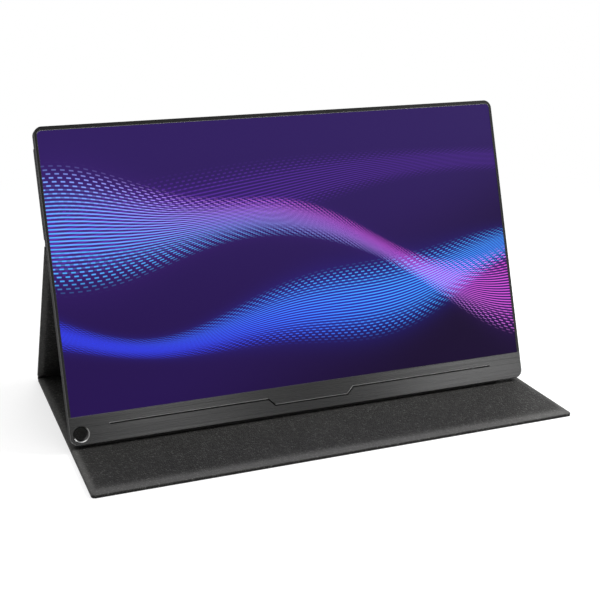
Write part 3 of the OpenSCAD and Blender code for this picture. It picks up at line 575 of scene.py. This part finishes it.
class GrowingTree:
    """A Geometry Nodes tree that is built call by call; sizes are its named inputs."""

    def __init__(self, name, sizes):
        self.tree = bpy.data.node_groups.new(name, "GeometryNodeTree")
        self.keys = {}
        face = self.tree.interface
        face.new_socket(name="Places", in_out="INPUT", socket_type="NodeSocketGeometry")
        for label, value in sizes.items():
            kind = "NodeSocketInt" if isinstance(value, int) else "NodeSocketFloat"
            made = face.new_socket(name=label, in_out="INPUT", socket_type=kind)
            self.keys[made.identifier] = value
        made = face.new_socket(name="Finish", in_out="INPUT", socket_type="NodeSocketMaterial")
        self.finish_key = made.identifier
        face.new_socket(name="Shape", in_out="OUTPUT", socket_type="NodeSocketGeometry")
        self.start = self.tree.nodes.new("NodeGroupInput")
        self.end = self.tree.nodes.new("NodeGroupOutput")

    def fill(self, socket, value):
        """Sets an input from an output, a number or the name of one of the tree's sizes."""
        feed(self.tree, socket, self.start.outputs[value] if isinstance(value, str) else value)

    def add(self, kind, settings=None, **inputs):
        """The result of a node with these inputs; a list joins several outputs in one input."""
        made = self.tree.nodes.new(kind)
        for name, value in (settings or {}).items():
            setattr(made, name, value)
        for name, value in inputs.items():
            for one in value if isinstance(value, list) else [value]:
                self.fill(made.inputs[name.replace("_", " ")], one)
        return made.outputs[0]

    def vector(self, **axes):
        """A vector from its axes."""
        return self.add("ShaderNodeCombineXYZ", **axes)

    def reckon(self, operation, a, b):
        """The result of a math node."""
        made = node(self.tree, "ShaderNodeMath", operation=operation)
        for socket, value in zip(made.inputs, (a, b)):
            self.fill(socket, value)
        return made.outputs[0]

    def grow(self, name, shape, places, material, source, body, round_off=0.0):
        """Ends the tree, runs it on the places and keeps the result as a plain mesh."""
        shape = self.add("GeometryNodeRealizeInstances", Geometry=shape)
        shape = self.add("GeometryNodeSetMaterial", Geometry=shape, Material="Finish")
        self.tree.links.new(shape, self.end.inputs["Shape"])
        mesh = bpy.data.meshes.new(name)
        mesh.from_pydata(places, [], [])
        made = in_scene(name, mesh)
        growth = made.modifiers.new("growth", "NODES")
        growth.node_group = self.tree
        for key, value in self.keys.items():
            growth[key] = value
        growth[self.finish_key] = material
        settle(made).shade_smooth()
        broken_edges(made, round_off, steps=2, sharp_from=35)
        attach(made, body)
        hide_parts(source)


RIBS = 199
RIB_SHORTER = 0.0008
STRIP_PLACES = [(0, -0.033683, 0.0028), (0, -0.018683, 0.0028)]
strips = GrowingTree("ribbed strip", {"Length": 0.319, "Width": 0.005, "Base": 0.00032, "Rib": 0.00028,
                                      "Pitch": 0.0016, "Ribs": RIBS})
flat = strips.add("GeometryNodeMeshCube", Size=strips.vector(X="Length", Y="Width", Z="Base"))
flat = strips.add("GeometryNodeTransform", Geometry=flat,
                  Translation=strips.vector(Z=strips.reckon("MULTIPLY", "Base", 0.5)))
rib = strips.add("GeometryNodeMeshCylinder", settings={"fill_type": "NGON"}, Vertices=10, Radius="Rib",
                 Depth=strips.reckon("SUBTRACT", "Width", RIB_SHORTER))
rib = strips.add("GeometryNodeTransform", Geometry=rib, Rotation=(pi / 2, 0, 0))
first_rib = strips.vector(X=strips.reckon("MULTIPLY", "Pitch", (1 - RIBS) / 2), Z="Base")
row = strips.add("GeometryNodeMeshLine", settings={"mode": "OFFSET"}, Count="Ribs", Start_Location=first_rib,
                 Offset=strips.vector(X="Pitch"))
ribs = strips.add("GeometryNodeInstanceOnPoints", Points=row, Instance=rib)
strip = strips.add("GeometryNodeJoinGeometry", Geometry=[flat, ribs])
both = strips.add("GeometryNodeInstanceOnPoints", Points="Places", Instance=strip)
strips.grow("silicone_seat_strips", both, STRIP_PLACES, silicone, "seat_strips", "base")

# ---- Front frame with the chin ----
# One pressed and milled metal frame, brushed along its length and stained dark grey. It holds
# the display from the front, and a fine line is engraved along its chin. Highlights and shade
# are painted on its line, its top inner lip and its top and right outer bevels.

STAINED = (0.0165, 0.0165, 0.0166), (0.0205, 0.0205, 0.0205)
THICK_STAIN, THICK_ROUGHER = (0.001, 0.001, 0.001), 0.5
BRUSH_SPREAD = 0.05

brush_group, given, out = shader_group("brushed lines", {"Line": 0.0003, "Length": 0.03}, ("Height", "Tone"))
tree = brush_group
parts = node(tree, "ShaderNodeSeparateXYZ", Vector=given["Vector"]).outputs
drawn = node(tree, "ShaderNodeCombineXYZ", X=math(tree, "DIVIDE", parts["X"], given["Length"]),
             Y=math(tree, "DIVIDE", parts["Y"], given["Line"]),
             Z=math(tree, "DIVIDE", parts["Z"], given["Line"])).outputs[0]
hairs = node(tree, "ShaderNodeTexNoise", Vector=drawn, Scale=1.0, Detail=2.0, Roughness=0.6).outputs["Fac"]
broad = node(tree, "ShaderNodeTexNoise", Vector=drawn, Scale=0.22, Detail=2.0).outputs["Fac"]
tree.links.new(hairs, out["Height"])
tree.links.new(math(tree, "MULTIPLY_ADD", full_range(tree, broad), 0.5,
                    math(tree, "MULTIPLY", full_range(tree, hairs), 0.5)), out["Tone"])


def brushed_metal(name, cut_colour, rough, line, length, depth, matt_cut=4.5):
    """Brushed and stained metal; the attribute 'cut' is 1 on cut faces and on faces with a painted
    highlight, which are lighter and turn matt at the rate matt_cut, and 'shade' is 1 where the stain lies
    thick and where shade is painted."""
    made, tree, surface = new_finish(name, Specular_IOR_Level=0.04)
    brush = node(tree, "ShaderNodeGroup", node_tree=brush_group, Vector=own_place(tree), Line=line,
                 Length=length).outputs
    cut = node(tree, "ShaderNodeAttribute", attribute_name="cut").outputs["Fac"]
    shade = node(tree, "ShaderNodeAttribute", attribute_name="shade").outputs["Fac"]
    colour = blend_colour(tree, cut, blend_colour(tree, brush["Tone"], *STAINED), cut_colour)
    tree.links.new(blend_colour(tree, shade, colour, THICK_STAIN), surface["Base Color"])
    matt = math(tree, "ADD", math(tree, "MULTIPLY", cut, matt_cut), shade)
    tree.links.new(math(tree, "SUBTRACT", 1.0, matt, clamp=True), surface["Metallic"])
    varied = math(tree, "MULTIPLY_ADD", brush["Tone"], -BRUSH_SPREAD, rough + BRUSH_SPREAD / 2)
    tree.links.new(math(tree, "MULTIPLY_ADD", shade, THICK_ROUGHER, varied), surface["Roughness"])
    emboss(tree, surface, brush["Height"], depth)
    return made


def rounded_copy(name, source, body, material, round_off, steps=2, cut=None):
    """A copy of a solid with its edges broken. cut may reshape the mesh first."""
    mesh = NODE[source].data.copy()
    mesh.name = name
    work = bmesh.new()
    work.from_mesh(mesh)
    bmesh.ops.remove_doubles(work, verts=work.verts, dist=0.000002)
    bmesh.ops.dissolve_limit(work, angle_limit=radians(0.6), verts=work.verts, edges=work.edges)
    if cut:
        cut(work)
    work.to_mesh(mesh)
    work.free()
    mesh.materials.clear()
    mesh.materials.append(material)
    mesh.shade_smooth()
    made = in_scene(name, mesh)
    broken_edges(made, round_off, steps, sharp_from=30)
    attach(made, body)
    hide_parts(source)
    return made


def to_monitor(point):
    """Place of a point on the monitor: across, height on the front face, depth behind it."""
    y, z = point[1] - SEAT[0], point[2] - SEAT[1]
    return Vector((point[0], sin(TILT) * y + cos(TILT) * z, cos(TILT) * y - sin(TILT) * z))


def turn_to_monitor(normal):
    """A direction in the same terms."""
    return Vector((normal[0], sin(TILT) * normal[1] + cos(TILT) * normal[2],
                   cos(TILT) * normal[1] - sin(TILT) * normal[2]))


LINE_PLACES = [Vector(p) * MM for p in (
    (-149, 12.2), (-33.5, 12.2), (-28.5, 7.2), (28.5, 7.2), (33.5, 12.2), (149, 12.2))]
LINE_LOW, LINE_HIGH, LINE_END = 0.004, 0.016, 0.152
LINE_HALF = 0.0008
UP_LEFT = Vector((-0.65, 0.76, 0))
ON_FACE, OFF_MIDDLE = 0.00002, 0.00005
EDGE_MOVED = (-0.00025, 0, 0.00055)
STILE_FOOT = 0.0205


def by_line(x, h):
    """True in the part of the chin that holds the engraved line."""
    return LINE_LOW < h < LINE_HIGH and abs(x) < LINE_END


def from_line(x, h):
    """Offset of a point of the chin from the nearest point of the engraved line."""
    point, offsets = Vector((x, h)), []
    for a, b in zip(LINE_PLACES, LINE_PLACES[1:]):
        run = b - a
        along = min(1, max(0, (point - a).dot(run) / run.length_squared))
        offsets.append(point - (a + run * along))
    return min(offsets, key=lambda offset: offset.length)


def cut_frame(work):
    """Parts the narrow stiles from the chin and slants the engraved line's upper left edge."""
    corner = Vector(in_monitor(0, 0, 0))
    bmesh.ops.bisect_plane(work, geom=[*work.verts, *work.edges, *work.faces], dist=0.000001,
                           plane_co=in_monitor(0, 0, STILE_FOOT),
                           plane_no=Vector(in_monitor(0, 0, 1)) - corner)
    for v in work.verts:
        x, h, depth = to_monitor(v.co)
        if abs(depth) < ON_FACE and by_line(x, h):
            offset = from_line(x, h)
            if offset.length < LINE_HALF and offset.dot(UP_LEFT.xy) > OFF_MIDDLE:
                v.co += Vector(in_monitor(*EDGE_MOVED)) - corner


def mark_faces(made, rule):
    """Writes the face attributes 'cut' and 'shade' that the brushed metal reads."""
    cut, shade = [], []
    for face in made.data.polygons:
        c, s = rule(to_monitor(face.center), turn_to_monitor(face.normal))
        cut.append(c)
        shade.append(s)
    made.data.attributes.new("cut", "FLOAT", "FACE").data.foreach_set("value", cut)
    made.data.attributes.new("shade", "FLOAT", "FACE").data.foreach_set("value", shade)


# The frame's faces are told apart by where they lie and by how far they face forwards
SIDE, FOOT, TOP = 0.1768, 0.0007, 0.2193
FLAT, UPRIGHT, TURNED = 0.97, 0.15, 0.2
BEVEL_DEPTH = 0.0006
# Lit and shaded faces of the frame are partly painted: the engraved line and the top inner lip get painted
# highlights, and the line and the top and right outer bevels get painted shade
CUT_AND_PAINTED_HIGHLIGHT = {"line": 0.6, "line, left slant": 0.08, "outer bevel": 0.12, "upper lip": 0.23, "lip": 0.05}
STAIN_AND_PAINTED_SHADE = {"line": 0.95, "stiles": 0.22, "bevel, top and right": 0.8, "outer sides": 1.0}


def frame_finish(place, normal):
    """How bright a face of the frame is cut, with painted highlights, and how thick its stain lies, with
    painted shade.
    """
    x, h, depth = place
    forwards = -normal.z
    # The engraved line's walls that face down, away from the upper left, get a painted highlight, weaker on
    # those that also face left; its other walls and its floor get painted shade
    if by_line(x, h) and 0.00001 < depth < LINE_HALF:
        if forwards > TURNED and normal.dot(UP_LEFT) < -0.05:
            return CUT_AND_PAINTED_HIGHLIGHT["line, left slant" if normal.x < -TURNED else "line"], 0
        return 0, STAIN_AND_PAINTED_SHADE["line"]
    if forwards > FLAT and h > STILE_FOOT:
        return 0, STAIN_AND_PAINTED_SHADE["stiles"]
    outer = abs(x) > SIDE or h < FOOT or h > TOP
    if UPRIGHT < forwards < FLAT and depth < BEVEL_DEPTH:
        # Painted shade: the top and right outer bevels are made dark, while the left and bottom ones keep
        # their lighter cut
        if outer and max(normal.x, normal.y) > TURNED:
            return 0, STAIN_AND_PAINTED_SHADE["bevel, top and right"]
        # The top inner lip is painted lighter than the other lips, as a highlight
        return CUT_AND_PAINTED_HIGHLIGHT["outer bevel" if outer else "upper lip" if normal.y < -TURNED else "lip"], 0
    return 0, (STAIN_AND_PAINTED_SHADE["outer sides"] if outer and forwards < UPRIGHT else 0)


frame_metal = brushed_metal("brushed dark grey metal", (0.55, 0.55, 0.545), rough=0.27, line=0.00016,
                            length=0.05, depth=0.0000015)
front_frame = rounded_copy("front_frame", "front_bezel", "monitor", frame_metal,
                           round_off=0.0001, cut=cut_frame)
mark_faces(front_frame, frame_finish)

# ---- Pen hole ring ----
# A turned metal ring is set into the pen hole in the chin's left end. Its face is stained as
# the frame is, and only its bore is left bright.

HOLE_MIDDLE = (-0.1695, 0.0078)
BORE, BORE_DEPTH = 0.00572, 0.0013


def ring_finish(place, normal):
    """The same for the ring: 1 for its bore, and no thick stain."""
    inward = Vector((HOLE_MIDDLE[0] - place.x, HOLE_MIDDLE[1] - place.y, 0))
    bore = inward.length < BORE and normal.dot(inward.normalized()) > TURNED
    return (1 if bore and place.z < BORE_DEPTH else 0), 0


ring_metal = brushed_metal("turned dark metal", (0.2, 0.2, 0.198), rough=0.24, line=0.0002, length=0.004,
                           depth=0.000002, matt_cut=0)
ring = rounded_copy("pen_hole_ring_turned", "pen_hole_ring", "monitor", ring_metal,
                    round_off=0.00006)
mark_faces(ring, ring_finish)

# ---- Display ----
# The glass cell has a matt front and is lit from behind. The picture that it shows is a plain
# pattern of fine flowing lines over deep violet.

CHIN = 0.0199
PICTURE_HEIGHT = 0.1971
PICTURE_MIDDLE = CHIN + PICTURE_HEIGHT / 2

screen, tree, surface = new_finish("lit display glass", Base_Color=(0.002, 0.002, 0.002, 1), Roughness=0.55,
                                   Specular_IOR_Level=0.02, Emission_Strength=1.0)
upright = SEAT[0] * sin(TILT) + SEAT[1] * cos(TILT) + PICTURE_MIDDLE
turn = node(tree, "ShaderNodeMapping", Vector=own_place(tree), Scale=(1 / PICTURE_HEIGHT,) * 3,
            Rotation=(TILT, 0, 0), Location=(0, 0, -upright / PICTURE_HEIGHT))
axes = node(tree, "ShaderNodeSeparateXYZ", Vector=turn.outputs[0]).outputs
across, up = axes["X"], axes["Z"]


def wave(size, rate, shift):
    """size * sin(rate * across + shift), as a socket."""
    return math(tree, "MULTIPLY", math(tree, "SINE", math(tree, "MULTIPLY_ADD", across, rate, shift)), size)


def total(first, *others):
    """Sum of a socket and further sockets or numbers."""
    for other in others:
        first = math(tree, "ADD", first, other)
    return first


LINE_EDGE, GAP_EDGE, DASHED_SIDES = (0.22, 0.44), (-0.35, 0.25), (0.25, 0.85)
RIBBON_END = 1.15
GLOW_FALL = 1.6


def ribbon(centre, width, lines, dash, dash_shift, edge):
    """Bundle of thin lines along a curve, broken into dashes at its sides: returns its mask and
    how far each point lies off its centre."""
    side = math(tree, "DIVIDE", math(tree, "SUBTRACT", up, centre), width)
    counted = math(tree, "MULTIPLY", side, lines)
    saw = math(tree, "ABSOLUTE", math(tree, "SUBTRACT", math(tree, "FRACT", counted), 0.5))
    line = ramp(tree, saw, *LINE_EDGE)
    stroke = math(tree, "MULTIPLY_ADD", math(tree, "FLOOR", math(tree, "ADD", counted, 0.5)), dash_shift,
                  math(tree, "MULTIPLY", across, dash))
    dashes = ramp(tree, math(tree, "SINE", stroke), *GAP_EDGE)
    reach = math(tree, "ABSOLUTE", side)
    dashed = ramp(tree, reach, *DASHED_SIDES)
    drawn = math(tree, "MULTIPLY_ADD", dashed, math(tree, "SUBTRACT", dashes, 1.0), 1.0)
    fade = ramp(tree, reach, edge, RIBBON_END, 1.0, 0.0)
    return math(tree, "MULTIPLY", math(tree, "MULTIPLY", line, drawn), fade), side


def soft_glow(side):
    """Glow that falls off to both sides of a ribbon."""
    return math(tree, "EXPONENT", math(tree, "MULTIPLY", math(tree, "MULTIPLY", side, side), -GLOW_FALL))


def coloured(mask, colour, gain):
    """A colour, given as an output or numbers, times a mask and a gain."""
    made = node(tree, "ShaderNodeVectorMath", operation="SCALE", Scale=math(tree, "MULTIPLY", mask, gain))
    feed(tree, made.inputs[0], colour)
    return made.outputs[0]


def summed(first, *others):
    """Sum of colours."""
    for other in others:
        first = math(tree, "ADD", first, other, kind="ShaderNodeVectorMath")
    return first


DEEP, INDIGO, NIGHT = (0.018, 0.005, 0.078), (0.028, 0.0105, 0.114), (0.0085, 0.0015, 0.028)
MAGENTA, VIOLET, BLUE, CYAN = (0.85, 0.11, 0.75), (0.22, 0.05, 0.75), (0.02, 0.06, 0.95), (0.05, 0.48, 1.0)
ground = blend_colour(tree, ramp(tree, up, -0.35, 0.45), DEEP, INDIGO)
corner = total(math(tree, "MULTIPLY", across, 0.7), math(tree, "MULTIPLY", up, -1.2))
ground = blend_colour(tree, ramp(tree, corner, 0.1, 0.95), ground, NIGHT)

# The main ribbon turns from cyan to magenta, the lower one from blue to cyan, the top one is faint
main, main_side = ribbon(
    centre=total(wave(0.13, 2.3, 2.4), wave(0.045, 5.1, 0.9), math(tree, "MULTIPLY", across, -0.10)),
    width=total(wave(0.075, 2.9, 4.2), wave(0.02, 7.0, 1.0), 0.115),
    lines=15.0, dash=210.0, dash_shift=1.9, edge=0.8)
main_run = total(math(tree, "MULTIPLY", across, 0.8), math(tree, "MULTIPLY", main_side, 0.4))
main_hue = blend_colour(tree, ramp(tree, main_run, -0.75, 0.7), CYAN, MAGENTA)
lower, lower_side = ribbon(
    centre=total(wave(0.11, 2.0, 5.4), wave(0.03, 6.0, 2.0), -0.17),
    width=total(wave(0.05, 3.4, 0.6), 0.085),
    lines=12.0, dash=240.0, dash_shift=2.6, edge=0.75)
lower_run = math(tree, "MULTIPLY_ADD", lower_side, 0.35, across)
lower_hue = blend_colour(tree, ramp(tree, lower_run, -0.7, 0.6), BLUE, CYAN)
faint, _ = ribbon(
    centre=total(wave(0.10, 1.7, 0.5), 0.19),
    width=total(wave(0.05, 2.2, 3.0), 0.10),
    lines=10.0, dash=280.0, dash_shift=3.7, edge=0.5)
picture = summed(
    ground,
    coloured(soft_glow(main_side), VIOLET, 0.16), coloured(main, main_hue, 0.95),
    coloured(soft_glow(lower_side), BLUE, 0.34), coloured(lower, lower_hue, 0.95),
    coloured(faint, VIOLET, 0.28),
)
tree.links.new(picture, surface["Emission Color"])
dress(screen, "lcd_cell")

# ---- Layers, boards and speakers inside ----
# Films, light guide, reflector, LED strip and a pressed tray lie in layers behind the glass.
# Circuit boards, their film circuits, a shield, a steel plate and two speakers fill the shell.

dress(varied_material("clear and white film", (0.78, 0.78, 0.8), (0.88, 0.88, 0.9), grain=0.001, rough=0.25),
      "optical_films", "light_guide", "reflector_sheet")
dress(varied_material("amber circuit film", (0.55, 0.28, 0.05), (0.72, 0.42, 0.1), grain=0.0012, rough=0.35),
      "led_strip", "panel_flex", "display_cable")
dress(varied_material("pressed tinned sheet", (0.42, 0.43, 0.44), (0.6, 0.6, 0.61), grain=0.003, rough=0.35,
                      metal=1.0, relief=0.00002), "display_tray", "scaler_shield", "steel_plate")
dress(varied_material("green circuit board", (0.01, 0.085, 0.045), (0.02, 0.15, 0.08), grain=0.0009,
                      rough=0.35), "panel_board", "main_board")
dress(varied_material("red lead insulation", (0.28, 0.015, 0.015), (0.42, 0.03, 0.025), grain=0.001,
                      rough=0.45), "speaker_leads")
moulded = varied_material("moulded black plastic", (0.012, 0.012, 0.012), (0.02, 0.02, 0.02), grain=0.0004,
                          rough=0.5, relief=0.00001)
dress(moulded, "speaker_left", "speaker_right", "wheel_switch", "power_switch")

# ---- Rear shell ----
# A milled aluminium tray, bead-blasted and anodised black. Its edge is rounded to the back,
# and the speaker slots and the side openings are cut through its wall.

shell_finish = varied_material("black blasted metal", (0.011, 0.011, 0.0115), (0.018, 0.018, 0.0185),
                               grain=0.0005, rough=0.66, relief=0.000012, spread=0.08, specular=0.06)
rounded_copy("rear_shell_anodised", "rear_shell", "monitor", shell_finish, round_off=0.00012)

# ---- Housing screws ----
# Four flat-headed steel screws with a cross recess, plated with black zinc, hold the shell to
# the frame. Their heads sink level with the back.

screw_steel = varied_material("black zinc steel", (0.05, 0.05, 0.052), (0.1, 0.1, 0.1), grain=0.0006,
                              rough=0.38, metal=1.0)
BACK, SUNK = 0.0085, 0.00002
SHANK_START = 0.0009
SCREW_PLACES = [in_monitor(x * MM, BACK - SUNK, 0.0066) for x in (-150, -50, 50, 150)]
screws = GrowingTree("cross-head screw", {"Head": 0.0019, "Head Height": 0.00098, "Recess": 0.0022,
                                          "Recess Width": 0.0004, "Recess Depth": 0.0005, "Shank": 0.00075,
                                          "Shank Length": 0.0045, "Lean": pi / 2 + TILT})
head = screws.add("GeometryNodeMeshCylinder", Vertices=40, Radius="Head", Depth="Head Height")
head = screws.add("GeometryNodeTransform", Geometry=head,
                  Translation=screws.vector(Z=screws.reckon("MULTIPLY", "Head Height", -0.5)))
drive = screws.reckon("MULTIPLY", "Recess Depth", 2.0)
bars = [screws.add("GeometryNodeMeshCube", Size=screws.vector(X=long, Y=wide, Z=drive))
        for long, wide in (("Recess", "Recess Width"), ("Recess Width", "Recess"))]
for bar in bars:
    head = screws.add("GeometryNodeMeshBoolean", settings={"operation": "DIFFERENCE"},
                      **{"Mesh 1": head, "Mesh 2": bar})
shank = screws.add("GeometryNodeMeshCylinder", Vertices=20, Radius="Shank", Depth="Shank Length")
shank_drop = screws.reckon("MULTIPLY", screws.reckon("ADD", "Shank Length", 2 * SHANK_START), -0.5)
shank = screws.add("GeometryNodeTransform", Geometry=shank, Translation=screws.vector(Z=shank_drop))
screw = screws.add("GeometryNodeJoinGeometry", Geometry=[head, shank])
lean = screws.vector(X=screws.reckon("MULTIPLY", "Lean", -1.0))
placed = screws.add("GeometryNodeInstanceOnPoints", Points="Places", Instance=screw,
                    Rotation=screws.add("FunctionNodeEulerToRotation", Euler=lean))
screws.grow("housing_screws", placed, SCREW_PLACES, screw_steel, "rear_screws", "monitor",
            round_off=0.00006)

# ---- Sockets on the right side ----
# Drawn and plated socket shells stand on the main board behind openings in the shell's wall,
# each with its contacts on black plastic. The earphone socket's body is plastic all over.

plated = varied_material("plated socket shell", (0.42, 0.42, 0.43), (0.58, 0.58, 0.58), grain=0.0007,
                         rough=0.3, metal=1.0)
SOCKET_DEPTH, TONGUE_HALF = 0.0054, 0.00045
SOCKET_MOUTH = 0.1765


def blacken_inside(made, heights, half):
    """Gives the contact tongue and the floor of each socket their black plastic."""
    made.data.materials.append(moulded)
    for face in made.data.polygons:
        x, h, depth = to_monitor(face.center)
        faces_out = turn_to_monitor(face.normal).x > 0.5
        level = min(abs(h - height) for height in heights) < half
        tongue = level and abs(depth - SOCKET_DEPTH) < TONGUE_HALF
        if x < SOCKET_MOUTH and (faces_out or tongue):
            face.material_index = 1


usb_shells = rounded_copy("usb_c_socket_shells", "usb_c_sockets", "monitor", plated,
                          round_off=0.00006)
blacken_inside(usb_shells, heights=(0.07, 0.086), half=0.0034)
display_shell = rounded_copy("display_socket_shell", "hdmi_socket", "monitor", plated,
                             round_off=0.00006)
blacken_inside(display_shell, heights=(0.052,), half=0.00385)
rounded_copy("earphone_socket_body", "earphone_socket", "monitor", moulded,
             round_off=0.00012)

# ---- Menu wheel and power button ----
# The wheel is a moulded black drum with fine ribs along its rim, on the axle of its switch.
# The button is a milled and anodised pill that slides in the shell's wall.

WHEEL_PLACE = in_monitor(0.1742, 0.0054, 0.106)
WHEEL_RIB_SHORTER = 0.0004
wheel = GrowingTree("ribbed wheel", {"Radius": 0.00425, "Thickness": 0.0024, "Rib": 0.00025, "Ribs": 36,
                                     "Lean": pi / 2 + TILT})
drum = wheel.add("GeometryNodeMeshCylinder", Vertices=72, Radius="Radius", Depth="Thickness")
bar = wheel.add("GeometryNodeMeshCylinder", Vertices=10, Radius="Rib",
                Depth=wheel.reckon("SUBTRACT", "Thickness", WHEEL_RIB_SHORTER))
rim = wheel.add("GeometryNodeMeshCircle", Vertices="Ribs", Radius="Radius")
ribs = wheel.add("GeometryNodeInstanceOnPoints", Points=rim, Instance=bar)
whole = wheel.add("GeometryNodeJoinGeometry", Geometry=[drum, ribs])
lean = wheel.vector(X=wheel.reckon("MULTIPLY", "Lean", -1.0))
placed = wheel.add("GeometryNodeInstanceOnPoints", Points="Places", Instance=whole,
                   Rotation=wheel.add("FunctionNodeEulerToRotation", Euler=lean))
wheel.grow("ribbed_menu_wheel", placed, [WHEEL_PLACE], moulded, "menu_wheel", "menu_wheel",
           round_off=0.00008)

satin = varied_material("satin anodised button", (0.16, 0.16, 0.16), (0.22, 0.22, 0.22), grain=0.0005,
                        rough=0.32, metal=1.0)
rounded_copy("power_button_cap", "power_button", "power_button", satin, round_off=0.00025,
             steps=3)
